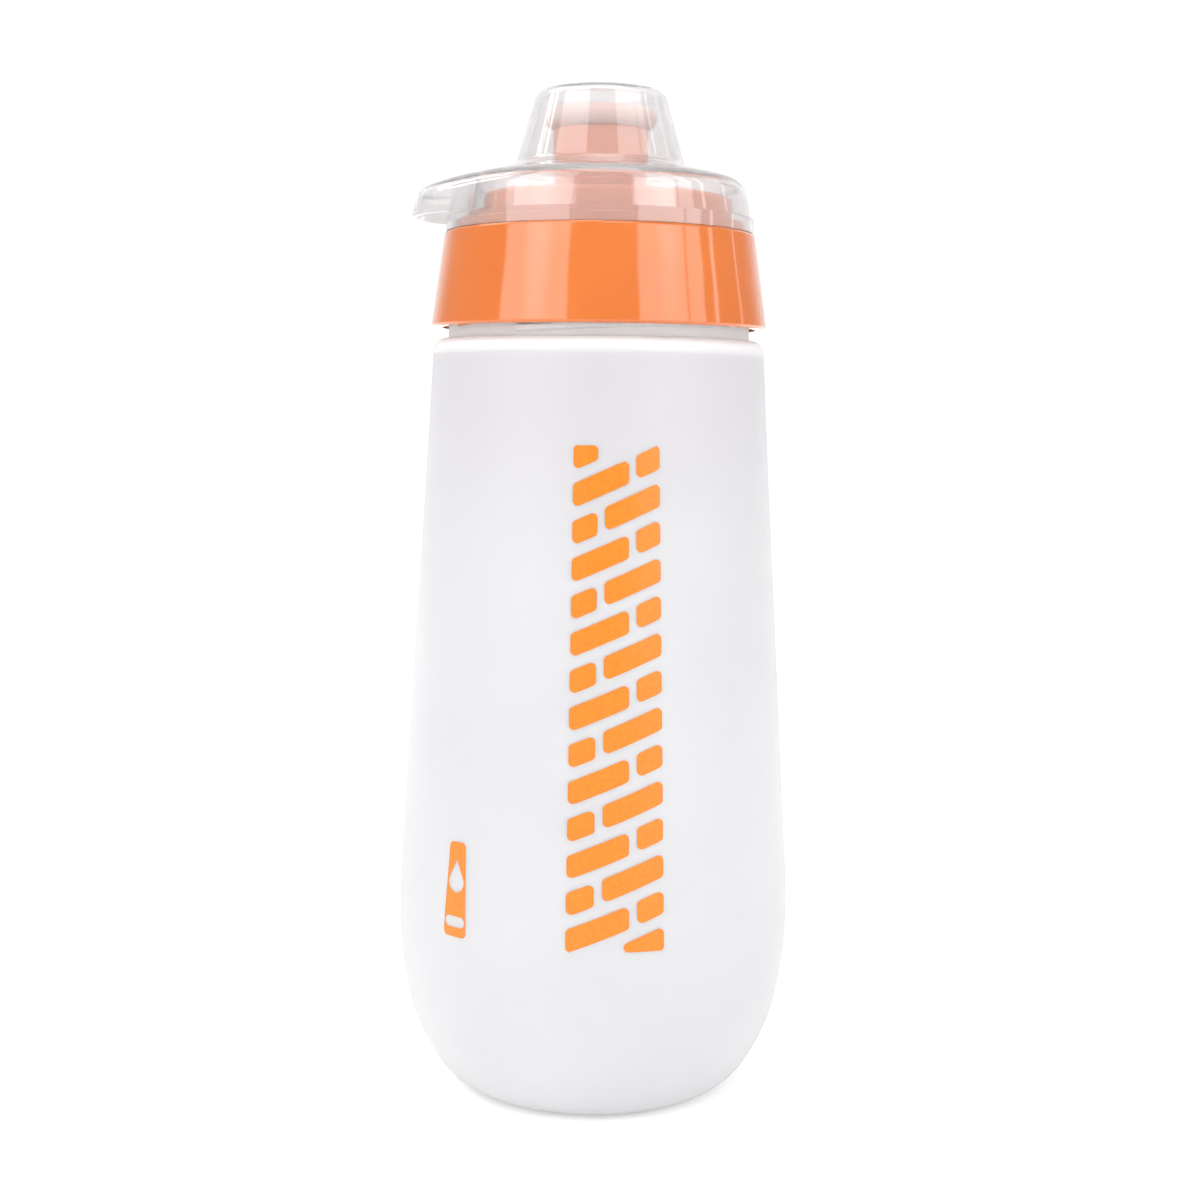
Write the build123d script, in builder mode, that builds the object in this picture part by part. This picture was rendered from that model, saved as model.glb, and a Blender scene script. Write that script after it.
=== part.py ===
from build123d import *
from math import acos, degrees
import os

# Sports squeeze bottle, millimetres, +Z up, origin at the centre of the base.
# The thumb beak of the overcap points towards -X.

# --- squeeze bottle -----------------------------------------------------------
wall = 1.2                      # blow-moulded wall
foot_radius = 26.5              # outer edge of the flat foot ring
foot_width = 3.0
push_up = 4.0                   # height of the hollow under the base
heel = (33.5, 5.0)              # radius and height where the base starts to turn up
knee = (39.9, 20.0)
belly = (41.6, 44.0)            # end of the straight side
shoulder_radius = 34.6
shoulder_height = 155.0         # where the shoulder's round starts
shoulder_top = 158.2
shoulder_round = 2.6            # width of the round
neck_radius = 31.4              # threaded part of the neck
neck_height = 168.3
land_radius = 30.3              # smooth part above the thread
land_height = 169.4
rim_height = 177.0

# --- screw thread, two starts ---------------------------------------------------
thread_lead = 9.0               # rise in one turn
thread_starts = 2
ridge_height = 0.9
ridge_root = 2.0                # width of a ridge at its root
ridge_crest = 0.9
ridge_bite = 0.3                # how far a root is sunk into its wall
neck_thread_height = 159.7      # middle of the ridge at its lower end
neck_thread_angle = 240         # where the first ridge starts, seen from above
neck_thread_turns = 0.88
lid_thread_offset = 0.42        # turns between the start of a neck ridge and a lid ridge
lid_thread_turns = 0.42
thread_play = 0.4               # between the ridges' crests and the opposite wall

# --- lid --------------------------------------------------------------------------
socket_radius = neck_radius + ridge_height + thread_play
socket_height = 169.0
land_socket_radius = 31.0
land_socket_height = 169.9
collar_bottom = 160.5
collar_bottom_radius = 35.0
collar_bottom_round = 0.6
collar_top = 180.0
collar_top_radius = 32.3
collar_top_round = 0.5
gasket_thickness = 1.5
ceiling = rim_height + gasket_thickness
plug_radius = 28.1              # lip that centres the lid in the mouth
plug_inner_radius = 26.5
plug_bottom = 175.5
plug_chamfer = 0.5
ring_radius = 30.3              # ring inside the overcap's skirt
ring_top = 182.2
ring_chamfer = 0.4
deck_radius = 27.6
deck_edge = 187.2
deck_edge_round = 1.0
dome_radius = 13.0              # where the dome runs into the flare round the spigot
dome_height = 189.9
dome_slope = 0.27
lid_wall = 1.6
gasket_play = 0.3

# --- spigot, valve post and nozzle ------------------------------------------------
boss_radius = 10.6
boss_bore = 9.8
boss_top = 191.0
spigot_radius = 8.2
spigot_bore = 5.6
stop_radius = 8.6               # collar at the spigot's top that keeps the nozzle on
stop_bottom = 197.3
spigot_top = 199.5
seal_section = 0.72             # radius of the seal ring's round section
seal_groove_radius = 7.2
seal_play = 0.04
seal_height = (stop_bottom + spigot_top) / 2
post_seat = 187.5               # underside of the spigot, where the post's flange rests
post_flange_radius = 9.2
post_flange_bottom = 186.3
post_ring_radius = 4.5          # inside of the ring pressed into the spigot
post_ring_top = 190.5
post_radius = 2.3
post_top = 203.2
post_tip_round = 1.035
spoke_count = 3
spoke_width = 1.5
spoke_length = 3.3
spoke_middle = 3.35             # distance of a spoke's middle from the axis
sleeve_radius = 9.9
sleeve_bottom_chamfer = 0.3
sleeve_top_chamfer = 0.4
sleeve_bore = 8.75
sleeve_lip_bore = 8.28
sleeve_bottom = 191.3
sleeve_lip_slope = 192.1        # where the lip starts to slope to the bore
sleeve_lip_top = 192.5
sleeve_ceiling = 199.9
sleeve_top = 201.2
sleeve_neck_radius = 5.4
sleeve_bead_bottom = 202.4
sleeve_bead_radius = 6.0
sleeve_bead_height = 203.0
sleeve_neck_top = 203.8
sleeve_neck_top_radius = 5.6
drink_hole = post_radius + 0.08
mouth_radius = 11.6
mouth_height = 203.3            # where the mouthpiece is widest
mouth_top_radius = 9.4
mouth_top = 205.5
mouth_dish = 0.2                # fall of the top towards the hole
mouth_hole = 3.4
mouth_hole_round = (1.2, 1.0)   # width and depth of the round at the hole's edge

# --- overcap ----------------------------------------------------------------------
cover_wall = 1.1
cover_bottom = 180.1
cover_step = 183.0              # lower edge of the outer wall
cover_top = 209.2
crown_radius = 13.15            # of the corner between the flat top and the cone
crown_round = 2.4
cone_foot = (17.7, 193.7)       # radius and height where the cone meets the roof
foot_round = 2.0
roof_slope = 0.25
roof_reach = 44.0
brim_round = 3.8                # between the roof and the outer wall
cover_radius = 31.5
beak_centre = -19.6
beak_radius = 19.6
beak_angle = degrees(acos((cover_radius - beak_radius) / -beak_centre))  # of the tangents
cover_draft = 12.5
skirt_radius = 32.0


def revolved(corners):
    """A ring or cup from the straight-sided outline of its half section."""
    with BuildPart() as ring:
        with BuildSketch(Plane.XZ):
            with BuildLine():
                Polyline(*corners, close=True)
            make_face()
        revolve(axis=Axis.Z)
    return ring.part


def thread_ridge(root_radius, outward):
    """One helical ridge of the full cross-section, starting on +X at height 0."""
    turns = neck_thread_turns if outward > 0 else lid_thread_turns
    bite = -outward * ridge_bite
    crest = outward * ridge_height
    with BuildPart() as ridge:
        with BuildLine() as path:
            Helix(thread_lead, thread_lead * turns, root_radius)
        with BuildSketch(Plane(path.line @ 0, x_dir=(1, 0, 0), z_dir=path.line % 0)):
            with BuildLine():
                Polyline(
                    (bite, -ridge_root / 2),
                    (crest, -ridge_crest / 2),
                    (crest, ridge_crest / 2),
                    (bite, ridge_root / 2),
                    close=True,
                )
            make_face()
        sweep(path=path.line, is_frenet=True)
    return ridge.part


def threads(root_radius, outward, angle, height):
    """The ridges of all starts, turned and raised to their place."""
    ridge = thread_ridge(root_radius, outward)
    step = 360 / thread_starts
    return [Pos(0, 0, height) * Rot(0, 0, angle + step * i) * ridge for i in range(thread_starts)]


# Bottle: one outline from the rim down to the centre of the base, given its wall by an offset.
with BuildPart() as bottle_body:
    with BuildSketch(Plane.XZ):
        with BuildLine():
            land = Line((land_radius, rim_height), (land_radius, land_height))
            step = Line(land @ 1, (neck_radius, neck_height))
            neck = Line(step @ 1, (neck_radius, shoulder_top))
            ledge = Line(neck @ 1, (shoulder_radius - shoulder_round, shoulder_top))
            corner = TangentArc(ledge @ 1, (shoulder_radius, shoulder_height), tangent=(1, 0))
            side = Line(corner @ 1, belly)
            lower = TangentArc(side @ 1, knee, tangent=side % 1)
            turn = TangentArc(lower @ 1, heel, tangent=lower % 1)
            toe = TangentArc(turn @ 1, (foot_radius, 0), tangent=turn % 1)
            foot = Line(toe @ 1, (foot_radius - foot_width, 0))
            TangentArc((0, push_up), foot @ 1, tangent=(1, 0))
            offset(amount=wall, side=Side.RIGHT)
        make_face()
    revolve(axis=Axis.Z)
    add(threads(neck_radius, 1, neck_thread_angle, neck_thread_height))
bottle_body.part.label = "bottle_body"

# Lid: collar with the thread inside, ring for the overcap, raised deck and spigot in one moulding.
with BuildPart() as lid:
    with BuildSketch(Plane.XZ):
        with BuildLine():
            lip = Line(
                (socket_radius, collar_bottom),
                (collar_bottom_radius - collar_bottom_round, collar_bottom),
            )
            lip_round = TangentArc(
                lip @ 1,
                (collar_bottom_radius, collar_bottom + collar_bottom_round),
                tangent=(1, 0),
            )
            collar = Line(lip_round @ 1, (collar_top_radius, collar_top - collar_top_round))
            collar_round = TangentArc(
                collar @ 1, (collar_top_radius - collar_top_round, collar_top), tangent=collar % 1
            )
            ring = Polyline(
                collar_round @ 1,
                (ring_radius, collar_top),
                (ring_radius, ring_top - ring_chamfer),
                (ring_radius - ring_chamfer, ring_top),
                (deck_radius, ring_top),
                (deck_radius, deck_edge - deck_edge_round),
            )
            deck_round = TangentArc(
                ring @ 1, (deck_radius - deck_edge_round, deck_edge), tangent=(0, 1)
            )
            dome = TangentArc(
                deck_round @ 1, (dome_radius, dome_height), tangent=(-1, dome_slope)
            )
            flare = TangentArc(dome @ 1, (boss_radius, boss_top), tangent=dome % 1)
            Polyline(
                flare @ 1,
                (spigot_radius, boss_top),
                (spigot_radius, stop_bottom),
                (stop_radius, stop_bottom),
                (stop_radius, seal_height - seal_section),
                (seal_groove_radius, seal_height - seal_section),
                (seal_groove_radius, seal_height + seal_section),
                (stop_radius, seal_height + seal_section),
                (stop_radius, spigot_top),
                (spigot_bore, spigot_top),
                (spigot_bore, post_seat),
                (boss_bore, post_seat),
                (boss_radius, dome_height - lid_wall),
                (plug_inner_radius, deck_edge - lid_wall),
                (plug_inner_radius, plug_bottom),
                (plug_radius - plug_chamfer, plug_bottom),
                (plug_radius, plug_bottom + plug_chamfer),
                (plug_radius, ceiling),
                (land_socket_radius, ceiling),
                (land_socket_radius, land_socket_height),
                (socket_radius, socket_height),
                (socket_radius, collar_bottom),
            )
        make_face()
    revolve(axis=Axis.Z)
    add(
        threads(
            socket_radius,
            -1,
            neck_thread_angle + 360 * lid_thread_offset,
            neck_thread_height + thread_lead * (lid_thread_offset - 0.5 / thread_starts),
        )
    )
lid.part.label = "lid"

# Flat ring between the rim and the lid's ceiling.
with BuildPart() as lid_gasket:
    with BuildSketch(Plane.XY.offset(rim_height)):
        Circle(land_socket_radius - gasket_play)
        Circle(plug_radius + gasket_play, mode=Mode.SUBTRACT)
    extrude(amount=gasket_thickness)
lid_gasket.part.label = "lid_gasket"

# Valve post: a flanged ring pressed into the spigot from below, with spokes that carry the pin.
with BuildPart() as valve_post:
    add(
        revolved(
            (
                (post_flange_radius, post_seat),
                (post_flange_radius, post_flange_bottom),
                (post_ring_radius, post_flange_bottom),
                (post_ring_radius, post_ring_top),
                (spigot_bore, post_ring_top),
                (spigot_bore, post_seat),
            )
        )
    )
    with BuildSketch(Plane.XY.offset(post_flange_bottom)):
        Circle(post_radius)
    extrude(amount=post_top - post_flange_bottom)
    fillet(valve_post.faces().sort_by(Axis.Z)[-1].edges(), post_tip_round)
    with BuildSketch(Plane.XY.offset(post_flange_bottom)):
        with PolarLocations(0, spoke_count, start_angle=90):
            with Locations((spoke_middle, 0)):
                Rectangle(spoke_length, spoke_width)
    extrude(amount=post_ring_top - post_flange_bottom)
valve_post.part.label = "valve_post"

# Seal ring in the groove round the spigot's top.
with BuildPart() as nozzle_seal:
    with BuildSketch(Plane.XZ):
        with Locations((seal_groove_radius + seal_section + seal_play, seal_height)):
            Circle(seal_section)
    revolve(axis=Axis.Z)
nozzle_seal.part.label = "nozzle_seal"

# Nozzle sleeve: slides on the spigot, with a lip that stops under the spigot's collar.
with BuildPart() as nozzle_sleeve:
    add(
        revolved(
            (
                (sleeve_lip_bore, sleeve_bottom),
                (sleeve_radius - sleeve_bottom_chamfer, sleeve_bottom),
                (sleeve_radius, sleeve_bottom + sleeve_bottom_chamfer),
                (sleeve_radius, sleeve_top - sleeve_top_chamfer),
                (sleeve_radius - sleeve_top_chamfer, sleeve_top),
                (sleeve_neck_radius, sleeve_top),
                (sleeve_neck_radius, sleeve_bead_bottom),
                (sleeve_bead_radius, sleeve_bead_height),
                (sleeve_neck_top_radius, sleeve_neck_top),
                (drink_hole, sleeve_neck_top),
                (drink_hole, sleeve_ceiling),
                (sleeve_bore, sleeve_ceiling),
                (sleeve_bore, sleeve_lip_top),
                (sleeve_lip_bore, sleeve_lip_slope),
            )
        )
    )
nozzle_sleeve.part.label = "nozzle_sleeve"

# Soft mouthpiece gripping the neck of the sleeve.
with BuildPart() as mouthpiece:
    with BuildSketch(Plane.XZ):
        with BuildLine():
            under = Line(
                (sleeve_neck_radius, sleeve_top), (sleeve_radius - sleeve_top_chamfer, sleeve_top)
            )
            bulge = ThreePointArc(
                under @ 1, (mouth_radius, mouth_height), (mouth_top_radius, mouth_top)
            )
            rim = Line(bulge @ 1, (mouth_hole + mouth_hole_round[0], mouth_top - mouth_dish))
            rim_round = TangentArc(
                rim @ 1,
                (mouth_hole, mouth_top - mouth_dish - mouth_hole_round[1]),
                tangent=rim % 1,
            )
            Polyline(
                rim_round @ 1,
                (mouth_hole, sleeve_neck_top),
                (sleeve_neck_top_radius, sleeve_neck_top),
                (sleeve_bead_radius, sleeve_bead_height),
                (sleeve_neck_radius, sleeve_bead_bottom),
                (sleeve_neck_radius, sleeve_top),
            )
        make_face()
    revolve(axis=Axis.Z)
mouthpiece.part.label = "mouthpiece"


def cover_form(inset):
    """The overcap's outer form above the step, drawn in all round by a distance."""
    top = cover_top - inset
    roof_height = cone_foot[1] - inset - roof_slope * (roof_reach - cone_foot[0])
    with BuildPart() as form:
        with BuildSketch(Plane.XZ):
            with BuildLine():
                roof = FilletPolyline(
                    (0, top),
                    (crown_radius - inset, top),
                    (cone_foot[0] - inset, cone_foot[1] - inset),
                    (roof_reach, roof_height),
                    radius=[crown_round - inset, foot_round + inset],
                )
                Polyline(roof @ 1, (roof_reach, cover_step), (0, cover_step), (0, top))
            make_face()
        revolve(axis=Axis.Z)
        with BuildSketch(Plane.XY.offset(cover_step)):
            with BuildLine():
                back = CenterArc(
                    (0, 0), cover_radius - inset, beak_angle - 180, 360 - 2 * beak_angle
                )
                tip = CenterArc(
                    (beak_centre, 0), beak_radius - inset, 180 - beak_angle, 2 * beak_angle
                )
                Line(back @ 1, tip @ 0)
                Line(tip @ 1, back @ 0)
            make_face()
        extrude(amount=cover_top - cover_step, taper=cover_draft, mode=Mode.INTERSECT)
    return form.part


def on_brim(edge):
    """Whether an edge of the cover form lies between its roof and its side wall."""
    middle = edge @ 0.5
    outside = Vector(middle.X, middle.Y).length > cone_foot[0] + crown_round
    return outside and middle.Z > cover_step + 1 and edge.geom_type != GeomType.LINE


with BuildPart() as cover_solid:
    add(cover_form(0))
    fillet(cover_solid.edges().filter_by(on_brim), brim_round)

# The overcap's round wall, which also runs through the beak.
with BuildPart() as round_wall:
    add(cover_solid.part)
    with BuildSketch(Plane.XY.offset(cover_step)):
        Circle(cover_radius)
    extrude(amount=cover_top - cover_step, taper=cover_draft, mode=Mode.INTERSECT)
    with BuildSketch(Plane.XY.offset(cover_step)):
        Circle(cover_radius - cover_wall)
    extrude(amount=cover_top - cover_step, taper=cover_draft, mode=Mode.SUBTRACT)

# Overcap: clear shell with the beak open underneath, and a skirt below the step.
with BuildPart() as overcap:
    add(cover_solid.part)
    add(cover_form(cover_wall), mode=Mode.SUBTRACT)
    add(round_wall.part)
    with BuildSketch(Plane.XY.offset(cover_bottom)):
        Circle(skirt_radius)
        Circle(skirt_radius - cover_wall, mode=Mode.SUBTRACT)
    extrude(amount=cover_step - cover_bottom)
overcap.part.label = "overcap"

os.makedirs("parts", exist_ok=True)
for piece in (
    bottle_body,
    lid,
    lid_gasket,
    valve_post,
    nozzle_seal,
    nozzle_sleeve,
    mouthpiece,
    overcap,
):
    export_step(piece.part, f"parts/{piece.part.label}.step")
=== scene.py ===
import math

import bmesh
import bpy
from mathutils import Euler, Matrix, Vector
from mathutils.bvhtree import BVHTree
from mathutils.geometry import delaunay_2d_cdt


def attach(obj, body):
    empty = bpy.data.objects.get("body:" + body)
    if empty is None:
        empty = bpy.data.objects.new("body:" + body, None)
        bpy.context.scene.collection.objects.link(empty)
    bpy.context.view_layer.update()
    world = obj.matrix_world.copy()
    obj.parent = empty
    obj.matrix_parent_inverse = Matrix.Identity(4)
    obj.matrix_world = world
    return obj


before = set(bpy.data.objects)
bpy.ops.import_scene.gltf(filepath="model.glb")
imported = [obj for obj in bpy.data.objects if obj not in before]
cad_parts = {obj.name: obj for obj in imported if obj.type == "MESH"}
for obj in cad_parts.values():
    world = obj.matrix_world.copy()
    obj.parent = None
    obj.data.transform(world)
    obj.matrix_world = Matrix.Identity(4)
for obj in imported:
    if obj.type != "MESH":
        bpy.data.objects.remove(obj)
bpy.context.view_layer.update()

MM = 0.001


# ---------------------------------------------------------------- node helpers
class Tree:
    """Builds one node tree. An input is given as a number, a colour or another node's output."""

    def __init__(self, tree):
        self.tree = tree
        tree.nodes.clear()

    def node(self, kind, settings=None, **inputs):
        made = self.tree.nodes.new(kind)
        for key, value in (settings or {}).items():
            setattr(made, key, value)
        for key, value in inputs.items():
            self.feed(made.inputs[key.replace("_", " ")], value)
        return made

    def feed(self, socket, value):
        if isinstance(value, bpy.types.NodeSocket):
            self.tree.links.new(value, socket)
        else:
            socket.default_value = value

    def math(self, operation, *values):
        made = self.node("ShaderNodeMath", {"operation": operation})
        for socket, value in zip(made.inputs, values):
            self.feed(socket, value)
        return made.outputs[0]

    def span(self, value, low, high, to_low=0.0, to_high=1.0, smooth=True):
        """value mapped from low..high to to_low..to_high and clamped there."""
        made = self.node(
            "ShaderNodeMapRange",
            {"interpolation_type": "SMOOTHSTEP" if smooth else "LINEAR"},
        )
        for socket, number in zip(made.inputs, (value, low, high, to_low, to_high)):
            self.feed(socket, number)
        return made.outputs[0]

    def noise(self, place, scale, detail=2.0, roughness=0.5):
        made = self.node("ShaderNodeTexNoise", Vector=place, Scale=scale, Detail=detail)
        made.inputs["Roughness"].default_value = roughness
        return made.outputs["Fac"]

    def stretched(self, place, factors):
        made = self.node("ShaderNodeMapping", Vector=place)
        made.inputs["Scale"].default_value = factors
        return made.outputs[0]

    def blend(self, share, first, second):
        made = self.node("ShaderNodeMix", {"data_type": "RGBA"})
        self.feed(made.inputs[0], share)
        self.feed(made.inputs[6], (*first, 1) if isinstance(first, tuple) else first)
        self.feed(made.inputs[7], (*second, 1) if isinstance(second, tuple) else second)
        return made.outputs[2]

    def bump(self, height, distance, under=None):
        made = self.node("ShaderNodeBump", Height=height, Strength=1.0, Distance=distance)
        if under is not None:
            self.feed(made.inputs["Normal"], under)
        return made.outputs[0]


def plastic(name, colour, shade, mottle, rough, rough_shift, grain, ripple, extra=None, **shader):
    """A moulded plastic: two close colours in soft clouds, fine grain, long ripples and faint scuffs.

    mottle is the clouds' scale, rough the lowest roughness and rough_shift what scuffs and clouds
    add to it; grain and ripple are (scale, height in metres)."""
    material = bpy.data.materials.new(name)
    material.use_nodes = True
    t = Tree(material.node_tree)
    place = t.node("ShaderNodeTexCoord").outputs["Object"]
    clouds = t.noise(place, mottle, 3.0)
    share = t.span(clouds, 0.3, 0.7)
    base = t.blend(share, colour, shade)
    scuffs = t.noise(t.stretched(place, (60, 60, 900)), 1.0, 4.0, 0.6)
    marks = t.span(scuffs, 0.6, 0.78)
    uneven = t.math("MULTIPLY_ADD", marks, 0.6, t.math("MULTIPLY", clouds, 0.4))
    roughness = t.math("MULTIPLY_ADD", uneven, rough_shift, rough)
    normal = t.bump(t.noise(place, ripple[0], 1.0), ripple[1])
    normal = t.bump(t.noise(place, grain[0], 2.0), grain[1], normal)
    surface = t.node("ShaderNodeBsdfPrincipled")
    if extra:
        base, normal = extra(t, place, base, normal)
    t.feed(surface.inputs["Base Color"], base)
    t.feed(surface.inputs["Roughness"], roughness)
    t.feed(surface.inputs["Normal"], normal)
    for key, value in shader.items():
        surface.inputs[key.replace("_", " ")].default_value = value
    out = t.node("ShaderNodeOutputMaterial")
    t.feed(out.inputs["Surface"], surface.outputs[0])
    return material


SEAM_WIDTH, SEAM_HEIGHT = 0.35 * MM, 0.05 * MM
TOP_SHADE_HEIGHTS = (110 * MM, 150 * MM)       # heights between which the bottle is painted darker and warmer: painted shade under the lid
NECK_LIGHT_HEIGHTS = (154 * MM, 158 * MM)   # heights between which the neck is painted paler: painted light that lifts the shade under the lid
# the first colour is painted shade under the lid, the second painted light on the neck
TOP_SHADE_COLOUR = (0.685, 0.67, 0.69)
NECK_LIGHT_COLOUR = (0.97, 0.965, 0.97)


def seam_and_painted_light(t, place, base, normal):
    """A faint raised seam down both sides of the bottle, painted shade that makes the top darker and
    warmer under the lid, and painted light that makes the neck paler.
    """
    parts = t.node("ShaderNodeSeparateXYZ", Vector=place)
    off = t.math("ABSOLUTE", parts.outputs["Y"])
    ridge = t.span(off, 0.0, SEAM_WIDTH, 1.0, 0.0)
    # painted shade: darker and warmer towards the lid, standing in for the shade under it
    top = t.span(parts.outputs["Z"], *TOP_SHADE_HEIGHTS)
    # painted light: the neck turns paler, lifting the shade under the lid
    neck = t.span(parts.outputs["Z"], *NECK_LIGHT_HEIGHTS)
    base = t.blend(neck, t.blend(top, base, TOP_SHADE_COLOUR), NECK_LIGHT_COLOUR)
    return base, t.bump(ridge, SEAM_HEIGHT, normal)


# ---------------------------------------------------------------- materials
frosted = plastic(
    "frosted_bottle",
    (0.725, 0.721, 0.735),
    (0.70, 0.696, 0.711),
    mottle=25,
    rough=0.40,
    rough_shift=0.16,
    grain=(2200, 0.010 * MM),
    ripple=(70, 0.05 * MM),
    extra=seam_and_painted_light,
    Transmission_Weight=0.35,
    Subsurface_Weight=1.0,
    Subsurface_Radius=(1.0, 1.0, 1.0),
    Subsurface_Scale=0.0015,
    IOR=1.46,
)
orange = plastic(
    "orange_plastic",
    (0.58, 0.150, 0.029),
    (0.555, 0.138, 0.026),
    mottle=60,
    rough=0.07,
    rough_shift=0.10,
    grain=(900, 0.0015 * MM),
    ripple=(70, 0.17 * MM),
    Coat_Weight=0.4,
    Coat_Roughness=0.05,
    Subsurface_Weight=0.12,
    Subsurface_Radius=(1.0, 0.35, 0.1),
    Subsurface_Scale=0.001,
)
clear = plastic(
    "clear_plastic",
    (0.88, 0.872, 0.875),
    (0.86, 0.85, 0.855),
    mottle=50,
    rough=0.06,
    rough_shift=0.06,
    grain=(700, 0.001 * MM),
    ripple=(130, 0.02 * MM),
    Transmission_Weight=0.885,
    IOR=1.5,
    Coat_Weight=0.4,
    Coat_Roughness=0.04,
)
soft = plastic(
    "soft_mouthpiece",
    (0.93, 0.74, 0.68),
    (0.90, 0.68, 0.61),
    mottle=140,
    rough=0.28,
    rough_shift=0.16,
    grain=(1500, 0.004 * MM),
    ripple=(220, 0.02 * MM),
    Transmission_Weight=0.45,
    Subsurface_Weight=1.0,
    Subsurface_Radius=(1.0, 0.7, 0.6),
    Subsurface_Scale=0.002,
    IOR=1.43,
)
rubber = plastic(
    "seal_rubber",
    (0.84, 0.83, 0.80),
    (0.78, 0.77, 0.74),
    mottle=160,
    rough=0.42,
    rough_shift=0.2,
    grain=(1800, 0.006 * MM),
    ripple=(200, 0.02 * MM),
    Subsurface_Weight=0.5,
    Subsurface_Radius=(1.0, 0.95, 0.9),
    Subsurface_Scale=0.001,
)
natural = plastic(
    "natural_plastic",
    (0.88, 0.88, 0.85),
    (0.83, 0.83, 0.80),
    mottle=120,
    rough=0.22,
    rough_shift=0.14,
    grain=(1200, 0.003 * MM),
    ripple=(150, 0.02 * MM),
    Subsurface_Weight=0.8,
    Subsurface_Radius=(1.0, 1.0, 0.9),
    Subsurface_Scale=0.001,
)
ink = plastic(
    "orange_ink",
    (0.74, 0.195, 0.006),
    (0.68, 0.165, 0.004),
    mottle=1400,
    rough=0.30,
    rough_shift=0.2,
    grain=(3000, 0.012 * MM),
    ripple=(300, 0.01 * MM),
)

FINISHES = {
    "bottle_body": frosted,
    "lid": orange,
    "lid_gasket": rubber,
    "valve_post": natural,
    "nozzle_seal": rubber,
    "nozzle_sleeve": orange,
    "mouthpiece": soft,
    "overcap": clear,
}
for node, material in FINISHES.items():
    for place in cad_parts[node].material_slots:
        place.material = material


# ---------------------------------------------------------------- printed graphics
def rounded(corners, radius, steps=5):
    """The outline of a polygon with its corners rounded."""
    outline = []
    count = len(corners)
    for i, corner in enumerate(corners):
        here = Vector(corner)
        before = (Vector(corners[i - 1]) - here).normalized()
        after = (Vector(corners[(i + 1) % count]) - here).normalized()
        half = before.angle(after) / 2
        reach = radius / math.tan(half)
        middle = here + (before + after).normalized() * radius / math.sin(half)
        start = here + before * reach - middle
        end = here + after * reach - middle
        for k in range(steps + 1):
            outline.append(middle + start.slerp(end, k / steps))
    return outline


def stepped(outline, longest):
    """The outline with its long edges divided, so that it can follow the bottle's round side."""
    points = []
    for i, b in enumerate(outline):
        a = outline[i - 1]
        count = math.ceil((b - a).length / longest)
        points += [a.lerp(b, k / count) for k in range(count)]
    return points


def printed(name, outlines, angle, height, grid=1.0, ink_height=0.05, sunk=0.02):
    """A thin closed skin of ink on the bottle. Outlines are in mm: arc length round the bottle and
    height, from a point at that angle from the front and that height. An outline inside another
    is a hole."""
    skin = BVHTree.FromObject(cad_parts["bottle_body"], bpy.context.evaluated_depsgraph_get())

    def radius_at(turn, z):
        out = Vector((math.sin(turn), -math.cos(turn), 0))
        hit = skin.ray_cast(out * 0.1 + Vector((0, 0, z)), -out)
        return Vector((hit[0].x, hit[0].y)).length

    outlines = [stepped(outline, grid) for outline in outlines]
    around = math.radians(angle)
    belly = radius_at(around, height * MM)
    points = [Vector(p) for outline in outlines for p in outline]
    edges, first = [], 0
    for outline in outlines:
        n = len(outline)
        edges += [(first + k, first + (k + 1) % n) for k in range(n)]
        first += n
    low = [min(p[i] for p in points) for i in (0, 1)]
    high = [max(p[i] for p in points) for i in (0, 1)]
    columns = math.ceil((high[0] - low[0]) / grid)
    rows = math.ceil((high[1] - low[1]) / grid)
    for i in range(1, columns):
        for j in range(1, rows):
            points.append(Vector((low[0] + i * grid, low[1] + j * grid)))
    flat, _, faces, *_ = delaunay_2d_cdt(points, edges, [], 0, 1e-5)

    def inside(p):
        crossings = 0
        for outline in outlines:
            for k, a in enumerate(outline):
                b = outline[(k + 1) % len(outline)]
                if (a[1] > p[1]) != (b[1] > p[1]):
                    crossings += p[0] < a[0] + (p[1] - a[1]) * (b[0] - a[0]) / (b[1] - a[1])
        return crossings % 2 == 1

    kept = [f for f in faces if inside(sum((flat[i] for i in f), Vector((0, 0))) / len(f))]
    mesh = bmesh.new()
    layers = {}
    for lift in (ink_height, -sunk):
        for i in sorted({i for f in kept for i in f}):
            turn = around + flat[i][0] * MM / belly
            z = (height + flat[i][1]) * MM
            r = radius_at(turn, z) + lift * MM
            layers[i, lift] = mesh.verts.new((r * math.sin(turn), -r * math.cos(turn), z))
    for f in kept:
        mesh.faces.new([layers[i, ink_height] for i in f])
        mesh.faces.new([layers[i, -sunk] for i in reversed(f)])
    sides = {(f[k], f[(k + 1) % len(f)]) for f in kept for k in range(len(f))}
    for a, b in sorted(sides):
        if (b, a) not in sides:
            rim = ((b, ink_height), (a, ink_height), (a, -sunk), (b, -sunk))
            mesh.faces.new([layers[key] for key in rim])
    bmesh.ops.recalc_face_normals(mesh, faces=mesh.faces[:])
    data = bpy.data.meshes.new(name)
    mesh.to_mesh(data)
    mesh.free()
    piece = bpy.data.objects.new(name, data)
    bpy.context.scene.collection.objects.link(piece)
    data.materials.append(ink)
    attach(piece, "bottle")
    return piece


BAND_WIDTH = 18.0
BAND_LOW, BAND_HIGH = 39.0, 137.0
BAR_COUNT = 9                        # bars above and below the middle one, before clipping
BAR_PITCH = 7.2
BAR_SHARE = 0.62
LEAST_BAR = 2.4                      # a clipped rest lower than this is left out
BAR_SLANT = 0.42
BAR_ROUND = 0.9
GAP_AT, GAP_WIDTH = 0.32, 1.7
BAND_ANGLE = 6.2
ICON_ANGLE, ICON_HEIGHT = -41.5, 48.3
ICON_SIZE = (8.6, 21.5)


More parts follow.
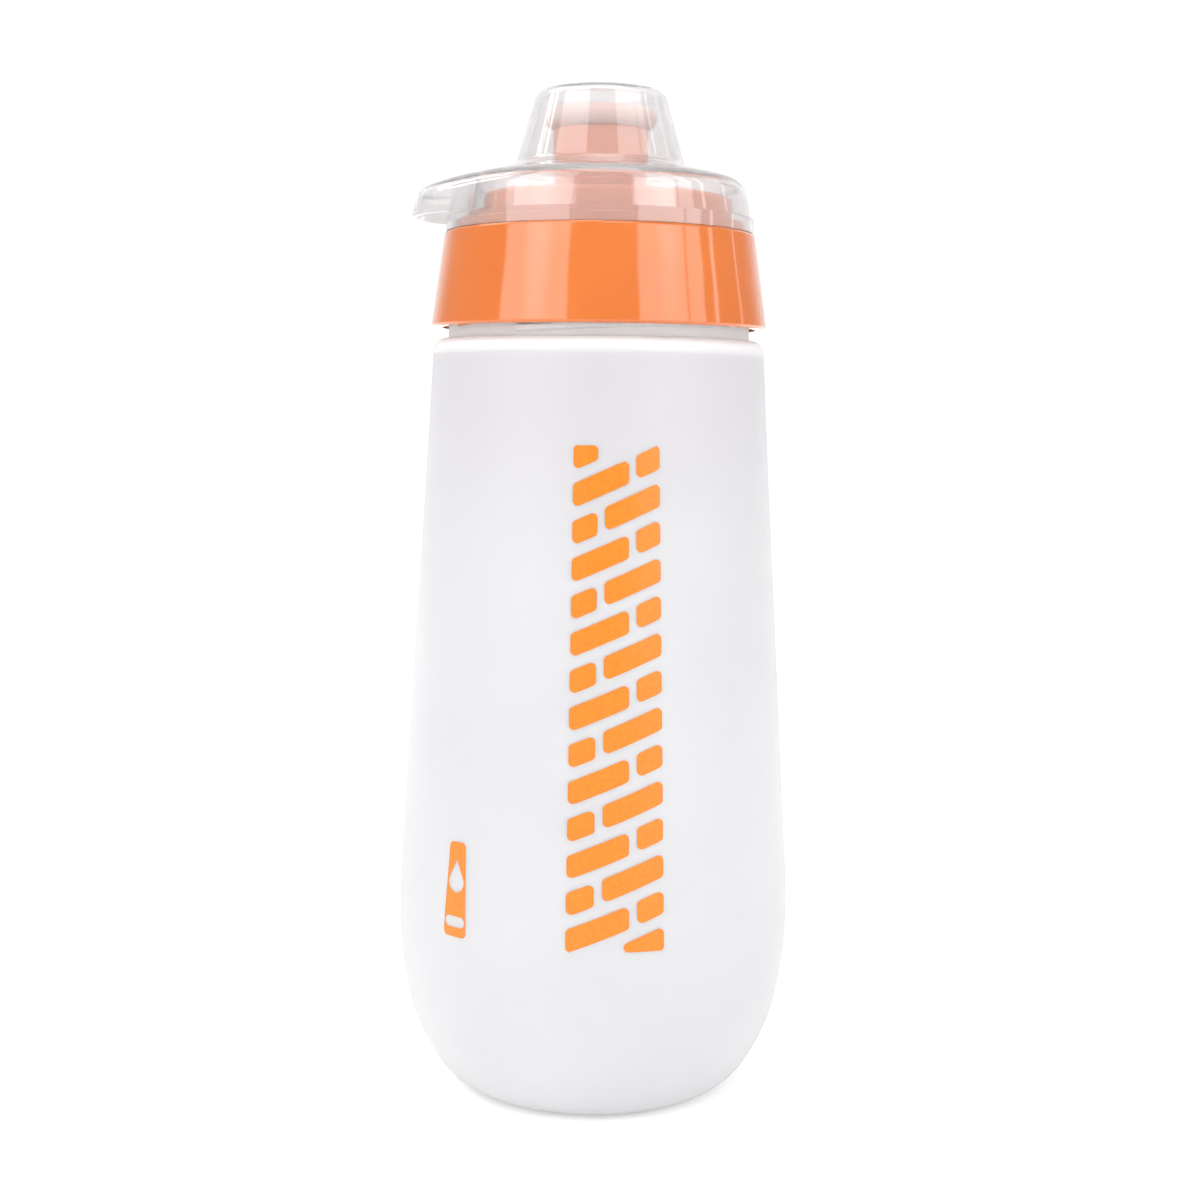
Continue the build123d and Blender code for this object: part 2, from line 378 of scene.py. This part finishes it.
def clipped(corners, level, side):
    """The part of a polygon above (side 1) or below (side -1) a level."""
    kept = []
    for i, b in enumerate(corners):
        a = corners[i - 1]
        if ((a[1] - level) * side > 0) != ((b[1] - level) * side > 0):
            share = (level - a[1]) / (b[1] - a[1])
            kept.append((a[0] + share * (b[0] - a[0]), level))
        if (b[1] - level) * side > 0:
            kept.append(b)
    return kept


def slanted(left, right, low, thick):
    """One slanted bar between two places across the band, cut off level at the band's ends."""
    corners = [
        (left, low + BAR_SLANT * left),
        (right, low + BAR_SLANT * right),
        (right, low + thick + BAR_SLANT * right),
        (left, low + thick + BAR_SLANT * left),
    ]
    corners = clipped(clipped(corners, -half_height, 1), half_height, -1)
    heights = [c[1] for c in corners] or [0]
    return rounded(corners, BAR_ROUND) if max(heights) - min(heights) > LEAST_BAR else None


half = BAND_WIDTH / 2
half_height = (BAND_HIGH - BAND_LOW) / 2
middle_height = (BAND_LOW + BAND_HIGH) / 2
bars = []
for i in range(-BAR_COUNT, BAR_COUNT + 1):
    low = BAR_PITCH * (i - BAR_SHARE / 2)
    split = BAND_WIDTH * (GAP_AT if i % 2 else 1 - GAP_AT) - half
    bars.append(slanted(-half, split - GAP_WIDTH / 2, low, BAR_PITCH * BAR_SHARE))
    bars.append(slanted(split + GAP_WIDTH / 2, half, low, BAR_PITCH * BAR_SHARE))
bars = [bar for bar in bars if bar]
printed("front_graphic", bars, BAND_ANGLE, middle_height)

wide, tall = ICON_SIZE
drop_radius, drop_tip, drop_rise = 2.1, 4.6, 1.5
drop_start, drop_sweep, drop_steps = 150, 240, 24      # the round part, in degrees
drop = [Vector((0, drop_tip))]
for k in range(drop_steps + 1):
    turn = math.radians(drop_start + drop_sweep * k / drop_steps)
    drop.append(Vector((math.cos(turn), math.sin(turn))) * drop_radius)
drop = [p + Vector((0, drop_rise)) for p in drop]
foot, head = wide / 2, wide / 2 - 1.0                  # half widths of the plate's two ends
corners = [(-foot, -tall / 2), (foot, -tall / 2), (head, tall / 2), (-head, tall / 2)]
plate = rounded(corners, 2.2, 8)
bar_half, bar_low, bar_high = 2.2, -7.2, -5.8
level_bar = rounded(
    [(-bar_half, bar_low), (bar_half, bar_low), (bar_half, bar_high), (-bar_half, bar_high)], 0.6
)
printed("side_icon", [plate, drop, level_bar], ICON_ANGLE, ICON_HEIGHT, grid=0.9)

# ---------------------------------------------------------------- stage
FLOOR_RADIUS = 30
FLOOR_DROP = 0.0001                  # keeps the floor just under the bottle
FLOOR_GLOW = 0.23                    # light of its own, which keeps the floor white
floor_data = bpy.data.meshes.new("floor")
floor_mesh = bmesh.new()
bmesh.ops.create_circle(floor_mesh, cap_ends=True, segments=96, radius=FLOOR_RADIUS)
floor_mesh.to_mesh(floor_data)
floor_mesh.free()
floor = bpy.data.objects.new("floor", floor_data)
floor.location.z = -FLOOR_DROP
bpy.context.scene.collection.objects.link(floor)
floor_material = bpy.data.materials.new("floor")
floor_material.use_nodes = True
floor_shader = floor_material.node_tree.nodes["Principled BSDF"]
floor_shader.inputs["Base Color"].default_value = (0.93, 0.93, 0.93, 1)
floor_shader.inputs["Roughness"].default_value = 0.9
floor_shader.inputs["Specular IOR Level"].default_value = 0.1
floor_shader.inputs["Emission Color"].default_value = (1, 1, 1, 1)
floor_shader.inputs["Emission Strength"].default_value = FLOOR_GLOW
floor_data.materials.append(floor_material)

# Studio: an even pale surround, brighter behind and overhead, with tall soft panels and thin strips.
# An upright light is (from, to, lowest, highest, radiance): degrees round from the front, positive
# to the right, and degrees above the horizon.
SURROUND = 0.38
BEHIND_LIGHT, BEHIND_FROM, BEHIND_FULL = 0.6, 126, 156
OVERHEAD_LIGHT, OVERHEAD_FROM, OVERHEAD_FULL = 0.9, 60, 72
UPRIGHT_LIGHTS = (
    (-72, -22, -8, 60, 2.6),
    (28, 64, -8, 60, 2.6),
    (65.5, 79, -8, 60, 2.4),
    (88, 91, 0, 50, 3.0),
    (114.5, 116, -5, 50, 2.2),
    (-92, -88, 30, 60, 6.0),
    (-104, -99, 30, 60, 6.0),
    (-122, -118, 34, 60, 6.0),
)
HOT_SPOTS = ((-46, 24), (52, 26))
HOT_LIGHT, HOT_WIDTH, HOT_HEIGHT = 1.6, 14, 10
# These are seen in reflections only and light nothing.
HIGH_LIGHTS = ((-78, -19, 23, 31, 2.8), (26, 62, 23, 31, 2.8))
EDGE = 0.6
BACKGROUND = 1.05                    # seen behind everything, directly or through clear plastic
INSIDE_GAIN = 2.45                   # see below: raises light that arrives through plastic

world = bpy.data.worlds.new("studio")
bpy.context.scene.world = world
world.use_nodes = True
w = Tree(world.node_tree)
direction = w.node("ShaderNodeTexCoord").outputs["Generated"]
axes = w.node("ShaderNodeSeparateXYZ", Vector=direction)
azimuth = w.math("ARCTAN2", axes.outputs["X"], w.math("MULTIPLY", axes.outputs["Y"], -1.0))
azimuth = w.math("DEGREES", azimuth)
elevation = w.math("DEGREES", w.math("ARCSINE", axes.outputs["Z"]))


def window(value, low, high):
    """1 between low and high, falling to 0 over a light's soft edge."""
    rising = w.span(value, low - EDGE, low + EDGE)
    falling = w.span(value, high - EDGE, high + EDGE, 1.0, 0.0)
    return w.math("MULTIPLY", rising, falling)


behind = w.span(w.math("ABSOLUTE", azimuth), BEHIND_FROM, BEHIND_FULL, 0.0, BEHIND_LIGHT)
overhead = w.span(elevation, OVERHEAD_FROM, OVERHEAD_FULL, 0.0, OVERHEAD_LIGHT)
radiance = w.math("ADD", w.math("ADD", behind, overhead), SURROUND)
path = w.node("ShaderNodeLightPath")
mirrored = path.outputs["Is Glossy Ray"]
for left, right, low, high, light in UPRIGHT_LIGHTS:
    share = w.math("MULTIPLY", window(azimuth, left, right), window(elevation, low, high))
    radiance = w.math("MULTIPLY_ADD", share, light, radiance)
for left, right, low, high, light in HIGH_LIGHTS:
    share = w.math("MULTIPLY", window(azimuth, left, right), window(elevation, low, high))
    radiance = w.math("MULTIPLY_ADD", w.math("MULTIPLY", share, mirrored), light, radiance)
for spot_azimuth, spot_elevation in HOT_SPOTS:
    across = w.math("DIVIDE", w.math("SUBTRACT", azimuth, spot_azimuth), HOT_WIDTH)
    up = w.math("DIVIDE", w.math("SUBTRACT", elevation, spot_elevation), HOT_HEIGHT)
    away = w.math("ADD", w.math("MULTIPLY", across, across), w.math("MULTIPLY", up, up))
    radiance = w.math("ADD", radiance, w.span(away, 0.0, 1.0, HOT_LIGHT, 0.0))
# Not physical, and the match with the real bottle rests on it: light that reaches a scattering surface
# through transmitting plastic is raised, for the nozzle under the overcap, and so it also lightens the
# frosted bottle and the mouthpiece. Looking straight through clear plastic shows the plain background.
through = path.outputs["Is Transmission Ray"]
scattered = w.math("MINIMUM", path.outputs["Diffuse Depth"], 1.0)
straight = w.math("MULTIPLY", through, w.math("SUBTRACT", 1.0, scattered))
seen = w.math("MAXIMUM", path.outputs["Is Camera Ray"], straight)
inside = w.math("MULTIPLY", through, scattered)
radiance = w.math("MULTIPLY", radiance, w.span(inside, 0.0, 1.0, 1.0, INSIDE_GAIN, smooth=False))
strength = w.span(seen, 0.0, 1.0, radiance, BACKGROUND, smooth=False)
sky = w.node("ShaderNodeBackground", Strength=strength)
sky.inputs["Color"].default_value = (1, 1, 1, 1)
w.feed(w.node("ShaderNodeOutputWorld").inputs["Surface"], sky.outputs[0])


def area_light(name, azimuth_deg, elevation_deg, distance, size, power):
    """A soft rectangular lamp that faces the bottle's upper part."""
    data = bpy.data.lights.new(name, "AREA")
    data.shape = "RECTANGLE"
    data.size, data.size_y = size
    data.energy = power
    lamp = bpy.data.objects.new(name, data)
    a, e = math.radians(azimuth_deg), math.radians(elevation_deg)
    out = Vector((math.sin(a) * math.cos(e), -math.cos(a) * math.cos(e), math.sin(e)))
    lamp.location = Vector((0, 0, 0.15)) + out * distance
    lamp.rotation_mode = "QUATERNION"
    lamp.rotation_quaternion = out.to_track_quat("Z", "Y")
    bpy.context.scene.collection.objects.link(lamp)
    return lamp


area_light("top_panel", 20, 78, 1.1, (0.6, 0.6), 2.0)
area_light("left_strip", -104, 38, 0.9, (0.03, 0.5), 0.6)

# ---------------------------------------------------------------- camera
SENSOR = 36                          # mm
FOCAL = 1.5 * SENSOR
PITCH = 6.31                         # degrees down
ROLL = 0.597
CAMERA_PLACE = (0.00083, -0.382, 0.1456)
camera = bpy.data.objects.new("camera", bpy.data.cameras.new("camera"))
camera.data.sensor_width = SENSOR
camera.data.lens = FOCAL
camera.data.clip_start = 0.01
camera.location = CAMERA_PLACE
tilt = Euler((math.radians(90 - PITCH), 0, 0)).to_matrix()
camera.rotation_mode = "QUATERNION"
camera.rotation_quaternion = (tilt @ Matrix.Rotation(math.radians(ROLL), 3, "Z")).to_quaternion()
bpy.context.scene.collection.objects.link(camera)
bpy.context.scene.camera = camera
bpy.context.scene.view_settings.view_transform = "Standard"
